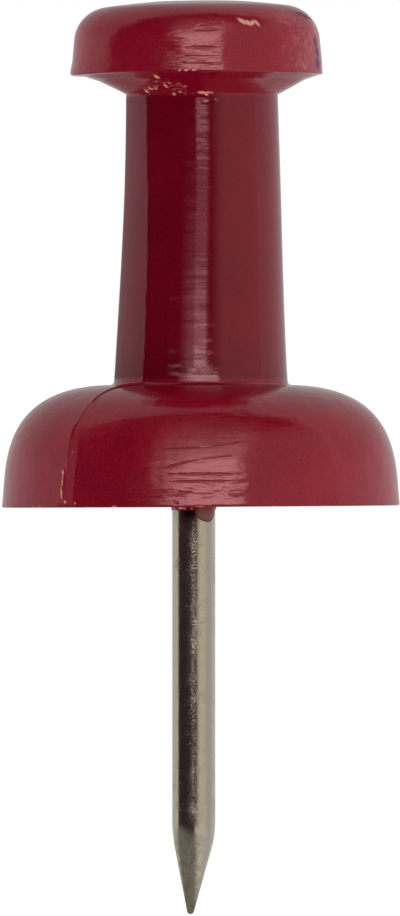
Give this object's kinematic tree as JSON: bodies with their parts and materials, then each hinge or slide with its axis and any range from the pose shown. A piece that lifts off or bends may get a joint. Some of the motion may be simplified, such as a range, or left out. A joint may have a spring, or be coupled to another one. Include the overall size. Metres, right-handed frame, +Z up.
{
  "type": "push pin",
  "caption": "Push pin with a waisted plastic handle, a domed flange and a thumb cap, moulded over a pointed steel needle.",
  "frame": {"origin": "on the handle's axis, in the plane of the flange's underside, where the needle leaves the plastic", "axes": "+Z up along the handle's axis, from the flange to the cap; the needle points along -Z; +X to the right in the front view"},
  "size_m": [0.01, 0.01, 0.0229],
  "materials": {
    "red_plastic": "deep crimson moulded plastic, half gloss, with fine turning marks and mould flash",
    "nickel_steel": "nickel plated drawn wire, lightly tarnished, with a ground point"
  },
  "bodies": {
    "root": {"handle": "red_plastic", "needle": "nickel_steel"}
  },
  "joints": []
}
